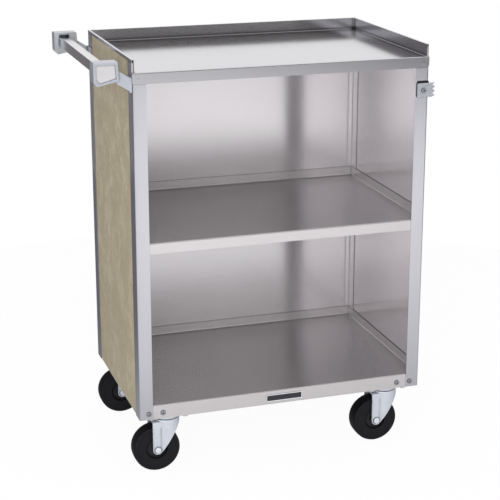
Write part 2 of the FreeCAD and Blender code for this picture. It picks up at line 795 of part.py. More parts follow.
bolts = []
for depth_name, y_swivel in (("front", caster_inset_y), ("rear", body_depth - caster_inset_y)):
    for side_name, x_swivel in (("left", caster_inset_x), ("right", body_length - caster_inset_x)):
        corner = depth_name + "_" + side_name
        swivel = Vector(x_swivel, y_swivel, 0)
        axle = Vector(x_swivel - caster_trail, y_swivel, axle_height)
        bolts += [caster_bolt(place) for place in plate_bolt_places(swivel)]
        pieces[corner + "_caster_plate"] = caster_plate(swivel)
        pieces[corner + "_kingpin"] = kingpin_solid(swivel, 0)
        pieces[corner + "_swivel_balls"] = swivel_balls(swivel)
        pieces[corner + "_fork"] = fork(swivel, axle)
        pieces[corner + "_axle"] = axle_bolt(axle)
        pieces[corner + "_axle_sleeve"] = axle_sleeve(axle)
        pieces[corner + "_wheel_hub"] = wheel_hub(axle)
        pieces[corner + "_tyre"] = tyre(axle)
pieces["caster_bolts"] = Part.makeCompound(bolts)

# Floor point under the middle of the whole cart
origin = Vector((body_length + keeper_overhang - handle_reach) / 2, body_depth / 2, 0)

os.makedirs("parts", exist_ok=True)
for name, shape in pieces.items():
    moved = shape.copy()
    moved.translate(origin * -1)
    moved.exportStep("parts/" + name + ".step")
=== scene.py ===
"""Finishes, trim and a studio stage for the enclosed utility cart."""
import math

import bpy
import numpy as np
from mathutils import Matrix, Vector


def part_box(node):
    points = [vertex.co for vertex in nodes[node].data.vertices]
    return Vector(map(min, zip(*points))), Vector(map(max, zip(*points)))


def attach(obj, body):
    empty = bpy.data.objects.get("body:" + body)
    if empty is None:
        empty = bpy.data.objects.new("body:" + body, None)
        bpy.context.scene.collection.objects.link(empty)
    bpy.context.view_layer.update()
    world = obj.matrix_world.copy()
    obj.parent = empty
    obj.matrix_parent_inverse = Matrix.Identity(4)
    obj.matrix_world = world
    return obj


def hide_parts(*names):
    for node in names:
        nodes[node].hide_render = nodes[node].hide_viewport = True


bl_info = {
    "name": "Utility cart dressing",
    "version": (1, 0, 0),
    "blender": (4, 5, 0),
    "location": "View3D > Sidebar > Cart",
    "description": "Finishes, trim and a studio stage for an enclosed utility cart",
    "category": "Object",
}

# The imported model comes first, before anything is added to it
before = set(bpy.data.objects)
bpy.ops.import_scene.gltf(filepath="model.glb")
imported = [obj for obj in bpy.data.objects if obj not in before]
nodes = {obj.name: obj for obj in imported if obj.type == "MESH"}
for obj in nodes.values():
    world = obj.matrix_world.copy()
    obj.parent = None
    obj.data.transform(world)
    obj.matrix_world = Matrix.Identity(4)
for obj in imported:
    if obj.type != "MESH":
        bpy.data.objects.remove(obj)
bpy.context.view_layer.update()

MM = 0.001
CORNERS = ("front_left", "front_right", "rear_left", "rear_right")
LAMP_TARGET = Vector((0.0, 0.0, 0.45))
SENSOR_WIDTH = 36
SHARP_FOLD = math.radians(40)
WHITE = (1, 1, 1, 1)

# Points along the curves of the added pieces
FOLD_POINTS = 7
HEM_POINTS = 9
BEAD_POINTS = 7
FRAME_CORNER_POINTS = 5
RIB_FOOT_POINTS = 13
WELD_POINTS = 6
WELD_TURN = 24
DISH_POINTS = 5
RING_POINTS = 7
SHOULDER_POINTS = 9
TREAD_POINTS = 6
TYRE_TURN = 120
FLOOR_TURN = 64


def linear(hex_colour):
    """Linear red, green and blue of an sRGB hex colour."""
    channels = []
    for start in (0, 2, 4):
        value = int(hex_colour[start:start + 2], 16) / 255
        channels.append(value / 12.92 if value <= 0.04045 else ((value + 0.055) / 1.055) ** 2.4)
    return tuple(channels)


def colour(name, description, hex_colour):
    """Colour property whose default is an sRGB hex value."""
    return bpy.props.FloatVectorProperty(
        name=name, description=description, subtype="COLOR", size=3, min=0, max=1,
        default=linear(hex_colour))


def length(name, description, default):
    """Length property in metres."""
    return bpy.props.FloatProperty(
        name=name, description=description, subtype="DISTANCE", unit="LENGTH", min=0, default=default)


def point(name, description, default):
    """Point or size in space, in metres."""
    return bpy.props.FloatVectorProperty(
        name=name, description=description, subtype="XYZ", unit="LENGTH", default=default)


def number(name, description, default, subtype="NONE", **limits):
    """Number property: an angle, a share, a level or a focal length."""
    return bpy.props.FloatProperty(
        name=name, description=description, subtype=subtype, default=default, **limits)


class CartFinish(bpy.types.PropertyGroup):
    """Colours of the cart's finishes."""
    # The stainless is one metal, copied in a tone for each part as painted light and shade: lightest on the
    # inside walls, darkest on the top shelf
    steel: colour("Stainless", "Posts and bolsters", "e3e3e9")
    tray_steel: colour("Tray steel", "Top shelf", "cbcace")
    deck_steel: colour("Deck steel", "Lower shelves", "dcd8d9")
    wall_steel: colour("Wall steel", "Inside of the side and back walls", "f2eef1")
    laminate: colour("Laminate", "Main colour of the cladding", "a3987f")
    laminate_light: colour("Laminate light", "Pale clouds in the cladding", "b9af98")
    laminate_dark: colour("Laminate dark", "Dark clouds in the cladding", "8f8468")
    casting: colour("Casting", "Handle brackets", "c3c7d0")
    insert: colour("Insert", "Blank inserts of the handle brackets", "e0dee1")
    tube: colour("Tube", "Push handle", "d8d7d9")
    zinc: colour("Zinc", "Plated forks and caster plates", "e9edf4")
    zinc_dull: colour("Dull zinc", "Clouds in the plating", "d2d8e3")
    keeper: colour("Keeper", "Keeper plate", "c2c5cc")
    screw_steel: colour("Screw steel", "Screw heads", "b8b8be")
    bright_steel: colour("Bright steel", "Balls, pins, bolts and the nameplate's border", "f0f0f2")
    rubber: colour("Rubber", "Tyres and the keeper's pad", "050506")
    hub: colour("Hub", "Moulded wheel hubs", "090909")
    enamel: colour("Enamel", "Ground of the nameplate", "26272c")


class CartTrim(bpy.types.PropertyGroup):
    """Sizes of the trim added to the solids."""
    border_width: length("Border width", "Bright border of the nameplate", 1.5 * MM)
    border_height: length("Border height", "How far the border stands proud", 0.4 * MM)
    flange_height: length(
        "Flange height", "Height of the lower shelves' flanges above their decks", 20.5 * MM)
    rim_height: length("Rim height", "Height of the top shelf's rim above its deck", 25.5 * MM)
    shelf_sheet: length("Shelf sheet", "Thickness of the shelves", 1.2 * MM)
    panel_sheet: length("Panel sheet", "Thickness of the inner walls", 0.9 * MM)
    fold_radius: length("Fold radius", "Inside of the folds where flange meets deck", 3.0 * MM)
    skin: length("Skin", "How far the skin of the returns stands proud", 0.2 * MM)
    hem_radius: length("Hem radius", "Rounded front edge of the back panel's returns", 1.2 * MM)
    leg_half: length("Leg half width", "Half the width across a fork's legs", 24.0 * MM)
    leg_left: length("Leg left", "Left rib of a fork's leg from the axle", 9.3 * MM)
    leg_right: length("Leg right", "Right rib of a fork's leg from the axle", 7.1 * MM)
    rib_width: length("Rib width", "Pressed rib round a fork's leg", 2.2 * MM)
    rib_height: length("Rib height", "How far that rib stands proud", 1.0 * MM)
    weld_radius: length("Weld radius", "Spot weld marks on the top lip", 4.0 * MM)
    weld_height: length("Weld height", "Swelling of a spot weld mark", 0.05 * MM)
    weld_inset: length("Weld inset", "Distance of a weld mark from the end of the lip", 12.0 * MM)
    weld_rise: length("Weld rise", "Height of a weld mark above the lip's lower edge", 9.6 * MM)
    tyre_crown: length("Tyre crown", "Swell of the tread", 0.6 * MM)
    tyre_ring: length("Tyre ring", "Radius of the moulded ring in the tyre's side", 42.0 * MM)
    tyre_groove: length("Tyre groove", "Depth of that ring", 0.5 * MM)


class CartStage(bpy.types.PropertyGroup):
    """Camera, light and floor."""
    camera_place: point("Camera", "Place of the camera", (-0.9266, -2.9272, 1.3690))
    camera_yaw: number("Yaw", "Turn of the view to the right", math.radians(18.0), "ANGLE")
    camera_pitch: number("Pitch", "Tilt of the view down", math.radians(16.64), "ANGLE")
    lens: number("Lens", "Focal length", 104.4, "DISTANCE_CAMERA")
    shift: number("Shift", "Rise of the lens, as a share of the frame", -0.03)
    floor_colour: colour("Floor", "Plain pale floor", "fafafa")
    floor_radius: length("Floor radius", "Size of the disc of floor", 12.0)
    floor_lift: number(
        "Floor lift", "Share of plain white that the camera sees in the floor", 0.95, "FACTOR",
        min=0, max=1)
    floor_near: length("Floor near", "Where the floor starts to fade into the backdrop", 0.5)
    floor_far: length("Floor far", "Where the floor has faded into the backdrop", 1.6)
    # Painted reflection of the floor: a glowing pool of light and dark floor, seen only in the metal
    floor_dark: colour("Dark floor", "Floor beyond the pool of light, seen in the metal", "6a6a72")
    pool_place: point("Pool", "Middle of the pool of light in front of the cart", (-0.2, -3.4, 0.0))
    pool_size: point("Pool size", "Half width and half depth of the pool of light", (1.6, 1.9, 1.0))
    pool_near: number("Pool near", "Where the pool starts to fade, in pool sizes", 0.8)
    pool_far: number("Pool far", "Where the pool has faded, in pool sizes", 2.3)
    # Painted reflections: glowing cards seen only in the metal
    room_dim: colour("Dim room", "Studio above the white panel, seen in the metal", "30281d")
    room_low: point("Dim room low", "Lowest corner of the dim room", (0.0, -2.6, 1.15))
    room_high: point("Dim room high", "Highest corner of the dim room", (3.2, -2.6, 3.4))
    room_edge: point("Dim room edge", "Soft edge of the dim room, across and up", (0.4, 0.0, 0.12))
    card_dim: colour("Rear card", "Card behind the left end, seen in the metal", "7c7a7d")
    card_low: point("Rear card low", "Lowest corner of the rear card", (-3.2, 2.5, 0.0))
    card_high: point("Rear card high", "Highest corner of the rear card", (-0.3, 2.5, 2.6))
    flag_dim: colour("Flag", "Narrow flag in front of the cart, seen in the metal", "1c1a1e")
    flag_low: point("Flag low", "Lowest corner of the flag", (-0.285, -1.05, 0.0))
    flag_high: point("Flag high", "Highest corner of the flag", (-0.18, -1.05, 1.0))
    crisp_edge: point("Crisp edge", "Edge of the card and the flag, across and up", (0.01, 0.0, 0.01))
    sky_level: number("Sky", "Strength of the even light", 0.7)
    key_power: number("Key", "Power of the large lamp", 117.0)
    key_size: length("Key size", "Width of the large lamp", 2.2)
    key_place: point("Key place", "Place of the large lamp", (-1.2, -3.3, 1.3))


# Nodes and materials

def add(tree, kind, inputs=None, **settings):
    """Add a node, set its properties, then set each input or link it to a socket."""
    made = tree.nodes.new(kind)
    for key, value in settings.items():
        setattr(made, key, value)
    for key, value in (inputs or {}).items():
        if isinstance(value, bpy.types.NodeSocket):
            tree.links.new(value, made.inputs[key])
        else:
            made.inputs[key].default_value = value
    return made


def rgba(values):
    """Opaque colour for a socket."""
    return (values[0], values[1], values[2], 1.0)


def shaded(values, share):
    """Opaque colour at a share of its strength."""
    return rgba([channel * share for channel in values])


def new_material(name):
    """Empty node material with its node tree, and the object coordinates that patterns read."""
    material = bpy.data.materials.new(name)
    material.use_nodes = True
    tree = material.node_tree
    tree.nodes.clear()
    place = add(tree, "ShaderNodeTexCoord").outputs["Object"]
    return material, tree, place


def painted_corner_shade(tree, unshaded, reach, depth):
    """Colour with painted shade in corners and seams: unchanged where the surface is open within reach, and
    darkened down to the stated depth of its tone where it is shut in."""
    shut_in = 0.4
    open_air = 0.95
    # Painted shade: ambient occlusion darkens the colour in corners, seams and recesses
    openness = add(tree, "ShaderNodeAmbientOcclusion", {"Distance": reach}).outputs["AO"]
    share = add(tree, "ShaderNodeMapRange", {
        "Value": openness, "From Min": shut_in, "From Max": open_air, "To Min": depth,
        "To Max": 1.0}).outputs["Result"]
    return add(tree, "ShaderNodeVectorMath", {0: unshaded, "Scale": share}, operation="SCALE").outputs[0]


def brushed_stainless(name, steel, grain, roughness, draw, haze=0.0, level_haze=0.0, level_shade=0.0,
                      back_shade=0.0, shade_reach=3 * MM, shade_tone=0.15):
    """Stainless sheet with a belt-brushed finish: fine streaks along the grain, reflections drawn out
    across it, a haze where the scratched skin of an upright or level face scatters light evenly, painted
    shade that darkens level faces, painted shade on faces turned to the back where one is asked for,
    painted shade in seams and corners, and faint clouds where cloths have been. The real lines are about
    0.1 mm apart, so they are drawn 2 mm apart to show."""
    material, tree, place = new_material(name)
    spacing = 2.0 * MM
    streak = 140 * MM
    cloud = 120 * MM
    line_depth = 0.015
    line_tone = 0.94
    scale = [1 / streak if axis == grain else 1 / spacing for axis in "xyz"]
    across = [0.0 if axis == grain else 1.0 for axis in "xyz"]
    stretched = add(tree, "ShaderNodeMapping", {"Vector": place, "Scale": scale}).outputs[0]
    streaks = add(tree, "ShaderNodeTexNoise", {
        "Vector": stretched, "Scale": 1.0, "Detail": 3.0}).outputs["Fac"]
    clouds = add(tree, "ShaderNodeTexNoise", {
        "Vector": place, "Scale": 1 / cloud, "Detail": 3.0}).outputs["Fac"]
    worn = add(tree, "ShaderNodeMapRange", {
        "Value": clouds, "To Min": roughness * 0.85, "To Max": roughness * 1.15}).outputs["Result"]
    lines = add(tree, "ShaderNodeMapRange", {
        "Value": streaks, "To Min": -line_depth, "To Max": line_depth}).outputs["Result"]
    rough = add(tree, "ShaderNodeMath", {0: worn, 1: lines}).outputs[0]
    bump = add(tree, "ShaderNodeBump", {"Height": streaks, "Strength": 0.02, "Distance": 0.05 * MM})
    turned = add(tree, "ShaderNodeVectorTransform", {"Vector": across}, vector_type="VECTOR",
                 convert_from="OBJECT", convert_to="WORLD")

    # Painted shade by the way that a face turns: level faces and faces turned to the back are darkened
    facing = add(tree, "ShaderNodeTexCoord").outputs["Normal"]
    facing_axes = add(tree, "ShaderNodeSeparateXYZ", {0: facing}).outputs
    level = add(tree, "ShaderNodeMath", {0: facing_axes["Z"]}, operation="ABSOLUTE").outputs[0]
    back = add(tree, "ShaderNodeMapRange", {
        "Value": facing_axes["Y"], "To Min": 1.0, "To Max": 1 - back_shade}).outputs["Result"]
    metal = 1 - haze
    if level_haze != haze:
        metal = add(tree, "ShaderNodeMapRange", {
            "Value": level, "To Min": 1 - haze, "To Max": 1 - level_haze}).outputs["Result"]
    tint = add(tree, "ShaderNodeMix", {
        "Factor": streaks, "A": shaded(steel, line_tone), "B": rgba(steel)}, data_type="RGBA")
    level_shaded = add(tree, "ShaderNodeMix", {
        "Factor": level, "A": tint.outputs["Result"], "B": shaded(WHITE, 1 - level_shade)},
        data_type="RGBA", blend_type="MULTIPLY")
    plain = add(tree, "ShaderNodeVectorMath", {
        0: level_shaded.outputs["Result"], "Scale": back}, operation="SCALE").outputs[0]
    # Painted shade in seams and corners, within the shade reach
    base = painted_corner_shade(tree, plain, shade_reach, shade_tone)
    shader = add(tree, "ShaderNodeBsdfPrincipled", {
        "Base Color": base, "Metallic": metal, "Roughness": rough, "Anisotropic": draw,
        "Tangent": turned.outputs[0], "Normal": bump.outputs[0]})
    add(tree, "ShaderNodeOutputMaterial", {"Surface": shader.outputs[0]})
    return material


def mottled_laminate(name, finish):
    """Vinyl laminate printed with soft clouds 10 to 40 mm across, over a fine pebbled emboss."""
    material, tree, place = new_material(name)
    cloud = 38 * MM
    fleck = 9 * MM
    emboss = 1.6 * MM
    large = add(tree, "ShaderNodeTexNoise", {
        "Vector": place, "Scale": 1 / cloud, "Detail": 4.0, "Roughness": 0.6,
        "Distortion": 0.6}).outputs["Fac"]
    small = add(tree, "ShaderNodeTexNoise", {
        "Vector": place, "Scale": 1 / fleck, "Detail": 3.0}).outputs["Fac"]
    pebble = add(tree, "ShaderNodeTexVoronoi", {
        "Vector": place, "Scale": 1 / emboss}).outputs["Distance"]
    pale = add(tree, "ShaderNodeMapRange", {
        "Value": large, "From Min": 0.45, "From Max": 0.75}).outputs["Result"]
    deep = add(tree, "ShaderNodeMapRange", {
        "Value": small, "From Min": 0.55, "From Max": 0.8, "To Max": 0.7}).outputs["Result"]
    rough = add(tree, "ShaderNodeMapRange", {
        "Value": small, "To Min": 0.42, "To Max": 0.55}).outputs["Result"]
    ground = add(tree, "ShaderNodeMix", {
        "Factor": pale, "A": rgba(finish.laminate), "B": rgba(finish.laminate_light)},
        data_type="RGBA")
    printed = add(tree, "ShaderNodeMix", {
        "Factor": deep, "A": ground.outputs["Result"], "B": rgba(finish.laminate_dark)},
        data_type="RGBA")
    bump = add(tree, "ShaderNodeBump", {"Height": pebble, "Strength": 0.2, "Distance": 0.1 * MM})
    shader = add(tree, "ShaderNodeBsdfPrincipled", {
        "Base Color": printed.outputs["Result"], "Roughness": rough, "IOR": 1.5,
        "Normal": bump.outputs[0]})
    add(tree, "ShaderNodeOutputMaterial", {"Surface": shader.outputs[0]})
    return material


def satin_casting(name, metal, roughness, haze):
    """Tumbled casting: an even satin skin with a fine orange peel about 1.5 mm across, and painted shade in
    corners and recesses. The haze is the share of light that the skin scatters evenly."""
    material, tree, place = new_material(name)
    pimple = 1.5 * MM
    cloud = 18 * MM
    cloud_tone = 0.9
    peel = add(tree, "ShaderNodeTexNoise", {
        "Vector": place, "Scale": 1 / pimple, "Detail": 2.0}).outputs["Fac"]
    clouds = add(tree, "ShaderNodeTexNoise", {
        "Vector": place, "Scale": 1 / cloud, "Detail": 2.0}).outputs["Fac"]
    tint = add(tree, "ShaderNodeMix", {
        "Factor": clouds, "A": shaded(metal, cloud_tone), "B": rgba(metal)}, data_type="RGBA")
    # Painted shade in corners and recesses
    base = painted_corner_shade(tree, tint.outputs["Result"], reach=6 * MM, depth=0.1)
    rough = add(tree, "ShaderNodeMapRange", {
        "Value": clouds, "To Min": roughness * 0.85, "To Max": roughness * 1.15}).outputs["Result"]
    bump = add(tree, "ShaderNodeBump", {"Height": peel, "Strength": 0.12, "Distance": 0.1 * MM})
    shader = add(tree, "ShaderNodeBsdfPrincipled", {
        "Base Color": base, "Metallic": 1 - haze, "Roughness": rough, "Normal": bump.outputs[0]})
    add(tree, "ShaderNodeOutputMaterial", {"Surface": shader.outputs[0]})
    return material


def zinc_plating(name, finish, roughness):
    """Bright zinc electroplate on pressed steel: a cool blue-white that scatters a third of the light, with
    soft dull clouds 6 to 20 mm across."""
    material, tree, place = new_material(name)
    cloud = 14 * MM
    crystal = 0.8 * MM
    clouds = add(tree, "ShaderNodeTexNoise", {
        "Vector": place, "Scale": 1 / cloud, "Detail": 4.0}).outputs["Fac"]
    grain = add(tree, "ShaderNodeTexNoise", {
        "Vector": place, "Scale": 1 / crystal, "Detail": 2.0}).outputs["Fac"]
    tint = add(tree, "ShaderNodeMix", {
        "Factor": clouds, "A": rgba(finish.zinc_dull), "B": rgba(finish.zinc)}, data_type="RGBA")
    # Painted shade in corners and recesses
    base = painted_corner_shade(tree, tint.outputs["Result"], reach=5 * MM, depth=0.1)
    rough = add(tree, "ShaderNodeMapRange", {
        "Value": clouds, "To Min": roughness * 1.2, "To Max": roughness * 0.8}).outputs["Result"]
    bump = add(tree, "ShaderNodeBump", {"Height": grain, "Strength": 0.08, "Distance": 0.05 * MM})
    shader = add(tree, "ShaderNodeBsdfPrincipled", {
        "Base Color": base, "Metallic": 0.7, "Roughness": rough, "Normal": bump.outputs[0]})
    add(tree, "ShaderNodeOutputMaterial", {"Surface": shader.outputs[0]})
    return material


def moulded_black(name, black, roughness, grain):
    """Moulded rubber or plastic: near black, with a fine grain, faint dusty clouds that lift the tone, and
    painted light on the sides: faces turned along y are painted a little paler than the rest, so that a
    tyre's sides are paler than its tread."""
    material, tree, place = new_material(name)
    cloud = 25 * MM
    dust = 1.5
    side_start = 0.6
    side_paleness = 5.0
    clouds = add(tree, "ShaderNodeTexNoise", {
        "Vector": place, "Scale": 1 / cloud, "Detail": 4.0}).outputs["Fac"]
    speck = add(tree, "ShaderNodeTexNoise", {
        "Vector": place, "Scale": 1 / grain, "Detail": 2.0}).outputs["Fac"]
    tint = add(tree, "ShaderNodeMix", {
        "Factor": clouds, "A": rgba(black), "B": shaded(black, dust)}, data_type="RGBA")
    # Painted light: faces turned along the y axis are made paler than the rest
    facing = add(tree, "ShaderNodeTexCoord").outputs["Normal"]
    sideways = add(tree, "ShaderNodeSeparateXYZ", {0: facing}).outputs["Y"]
    side = add(tree, "ShaderNodeMath", {0: sideways}, operation="ABSOLUTE").outputs[0]
    side_lift = add(tree, "ShaderNodeMapRange", {
        "Value": side, "From Min": side_start, "To Min": 1.0, "To Max": side_paleness}).outputs["Result"]
    side_lit = add(tree, "ShaderNodeVectorMath", {
        0: tint.outputs["Result"], "Scale": side_lift}, operation="SCALE").outputs[0]
    rough = add(tree, "ShaderNodeMapRange", {
        "Value": clouds, "To Min": roughness * 0.9, "To Max": roughness * 1.1}).outputs["Result"]
    bump = add(tree, "ShaderNodeBump", {"Height": speck, "Strength": 0.15, "Distance": 0.1 * MM})
    shader = add(tree, "ShaderNodeBsdfPrincipled", {
        "Base Color": side_lit, "Roughness": rough, "IOR": 1.22, "Normal": bump.outputs[0]})
    add(tree, "ShaderNodeOutputMaterial", {"Surface": shader.outputs[0]})
    return material


def baked_enamel(name, enamel):
    """Dark enamel on a thin plate: smooth and semi-gloss, with the least hint of orange peel."""
    material, tree, place = new_material(name)
    pimple = 2 * MM
    peel_tone = 0.85
    peel = add(tree, "ShaderNodeTexNoise", {
        "Vector": place, "Scale": 1 / pimple, "Detail": 2.0}).outputs["Fac"]
    tint = add(tree, "ShaderNodeMix", {
        "Factor": peel, "A": shaded(enamel, peel_tone), "B": rgba(enamel)}, data_type="RGBA")
    rough = add(tree, "ShaderNodeMapRange", {
        "Value": peel, "To Min": 0.3, "To Max": 0.38}).outputs["Result"]
    bump = add(tree, "ShaderNodeBump", {"Height": peel, "Strength": 0.06, "Distance": 0.05 * MM})
    shader = add(tree, "ShaderNodeBsdfPrincipled", {
        "Base Color": tint.outputs["Result"], "Roughness": rough, "IOR": 1.5,
        "Normal": bump.outputs[0]})
    add(tree, "ShaderNodeOutputMaterial", {"Surface": shader.outputs[0]})
    return material


def finish_nodes(names, material):
    """Give each named solid the material."""
    for name in names:
        mesh = nodes[name].data
        mesh.materials.clear()
        mesh.materials.append(material)


# Surfaces worked out with numpy

def grid_faces(rows, columns, wrap_rows, wrap_columns):
    """Quads of a rows by columns grid of points, wrapped round where asked."""
    row = np.arange(rows if wrap_rows else rows - 1)
    column = np.arange(columns if wrap_columns else columns - 1)
    r, c = np.meshgrid(row, column, indexing="ij")
    r_next = (r + 1) % rows
    c_next = (c + 1) % columns
    corners = (r * columns + c, r * columns + c_next, r_next * columns + c_next, r_next * columns + c)
    return np.stack([corner.ravel() for corner in corners], axis=1)


def new_piece(name, points, faces, material, body):
    """Smooth mesh object made from arrays of points and faces, riding on a body."""
    mesh = bpy.data.meshes.new(name)
    mesh.from_pydata(points.tolist(), [], faces)
    mesh.materials.append(material)
    mesh.polygons.foreach_set("use_smooth", np.ones(len(mesh.polygons), bool))
    mesh.set_sharp_from_angle(angle=SHARP_FOLD)
    mesh.update()
    piece = bpy.data.objects.new(name, mesh)
    bpy.context.scene.collection.objects.link(piece)
    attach(piece, body)
    return piece


def arc(centre, radius, start, end, steps):
    """Points (u, v) on a circle from the start angle to the end angle, in degrees."""
    turn = np.radians(np.linspace(start, end, steps))
    return np.stack([centre[0] + radius * np.cos(turn), centre[1] + radius * np.sin(turn)], axis=1)


def tyre_profile(low, high, trim):
    """Half section of a tyre as (radius, distance from the middle), from the bore round to the tread's
    middle: bore, dished floor, rounded dish edge, flat side with one moulded ring, shoulder arc, and a
    tread that falls away from its crown as the square of the distance."""
    outside = (high.z - low.z) / 2
    half = (high.y - low.y) / 2
    bore = 19 * MM
    dish = 23 * MM
    dish_depth = 3 * MM
    dish_slope = 1.5 * MM
    dish_edge = 1.2 * MM
    dish_angle = 150
    ring_half = 1.0 * MM
    shoulder = 2.5 * MM
    tread_angle = 8
    floor = half - dish_depth
    inside = np.array([[bore, floor], [dish - dish_slope, floor]])
    edge = arc((dish + dish_edge, half - dish_edge), dish_edge, dish_angle, 90, DISH_POINTS)
    turn = np.linspace(0, math.pi, RING_POINTS)
    ring = np.stack(
        [trim.tyre_ring - ring_half * np.cos(turn), half - trim.tyre_groove * np.sin(turn)], axis=1)
    corner = (outside - trim.tyre_crown - shoulder, half - shoulder)
    rounded = arc(corner, shoulder, 90, tread_angle, SHOULDER_POINTS)
    tread_radius, tread_half = rounded[-1]
    share = np.linspace(1, 0, TREAD_POINTS)[1:]
    tread = np.stack([outside - (outside - tread_radius) * share ** 2, tread_half * share], axis=1)
    return np.concatenate([inside, edge, ring, rounded, tread])


def revolve_y(profile, centre, steps):
    """Grid of points: the (radius, offset) profile turned about the line along y through the centre.
    A point at angle t lies at x = r cos t, y = offset, z = r sin t from the centre."""
    turn = np.linspace(0, 2 * math.pi, steps, endpoint=False)
    x = centre.x + np.outer(np.cos(turn), profile[:, 0])
    z = centre.z + np.outer(np.sin(turn), profile[:, 0])
    y = centre.y + np.broadcast_to(profile[:, 1], x.shape)
    return np.stack([x, y, z], axis=2).reshape(-1, 3)


def turned_button(profile, centre, steps):
    """Points and faces of a closed button: the (radius, offset) profile, from pole to pole, turned about
    the line along y through the centre, with one point at each pole."""
    rings = profile[1:-1]
    poles = np.array(centre) + np.array([[0, profile[0, 1], 0], [0, profile[-1, 1], 0]])
    points = np.concatenate([revolve_y(rings, centre, steps), poles])
    first = np.arange(steps) * len(rings)
    last = first + len(rings) - 1
    front = np.stack([np.full(steps, len(points) - 2), first, np.roll(first, -1)], axis=1)
    back = np.stack([np.full(steps, len(points) - 1), np.roll(last, -1), last], axis=1)
    sides = grid_faces(steps, len(rings), True, False)
    return points, sides.tolist() + front.tolist() + back.tolist()


def closed_bar(axis, outline, start, end):
    """Points and faces of a bar: the outline, a loop of (u, v) points, carried along the named axis from
    start to end, with both ends closed. Faces are turned round where the loop runs the other way."""
    count = len(outline)
    u = np.tile(outline[:, 0], 2)
    v = np.tile(outline[:, 1], 2)
    along = np.repeat((start, end), count)
    orders = {"x": (along, u, v), "y": (u, along, v), "z": (u, v, along)}
    points = np.stack(orders[axis], axis=1)
    after = np.roll(outline, -1, axis=0)
    area = np.sum(outline[:, 0] * after[:, 1] - after[:, 0] * outline[:, 1])
    ring = np.arange(count)
    faces = grid_faces(2, count, False, True).tolist() + [ring[::-1].tolist(), (ring + count).tolist()]
    if (area < 0) != (axis == "y"):
        faces = [face[::-1] for face in faces]
    return points, faces


def bead(path, closed, face, outwards, width, height):
    """Points and faces of a half-round bead carried along a path in the x and z plane, on a face at the
    given y. At angle t its section lies width/2 cos t beside the path and height sin t out from the
    face."""
    if closed:
        ahead = np.roll(path, -1, axis=0) - np.roll(path, 1, axis=0)
    else:
        ahead = np.gradient(path, axis=0)
    ahead /= np.linalg.norm(ahead, axis=1)[:, None]
    turn = np.radians(np.linspace(0, 180, BEAD_POINTS))
    beside = width / 2 * np.cos(turn)
    x = path[:, 0, None] + ahead[:, 1, None] * beside
    z = path[:, 1, None] - ahead[:, 0, None] * beside
    y = np.broadcast_to(face + outwards * height * np.sin(turn), x.shape)
    points = np.stack([x, y, z], axis=2).reshape(-1, 3)
    faces = grid_faces(len(path), BEAD_POINTS, closed, True).tolist()
    if not closed:
        ring = np.arange(BEAD_POINTS)
        faces += [ring[::-1].tolist(), (ring + (len(path) - 1) * BEAD_POINTS).tolist()]
    if outwards < 0:
        faces = [quad[::-1] for quad in faces]
    return points, faces


def rounded_frame(low, high, corner):
    """Closed path round a rectangle in the x and z plane, with quarter arcs at its corners."""
    left = low[0] + corner
    right = high[0] - corner
    bottom = low[1] + corner
    top = high[1] - corner
    centres = ((right, top), (left, top), (left, bottom), (right, bottom))
    runs = []
    for centre, start in zip(centres, (0, 90, 180, 270)):
        runs.append(arc(centre, corner, start, start + 90, FRAME_CORNER_POINTS))
    return np.concatenate(runs)


# Operators

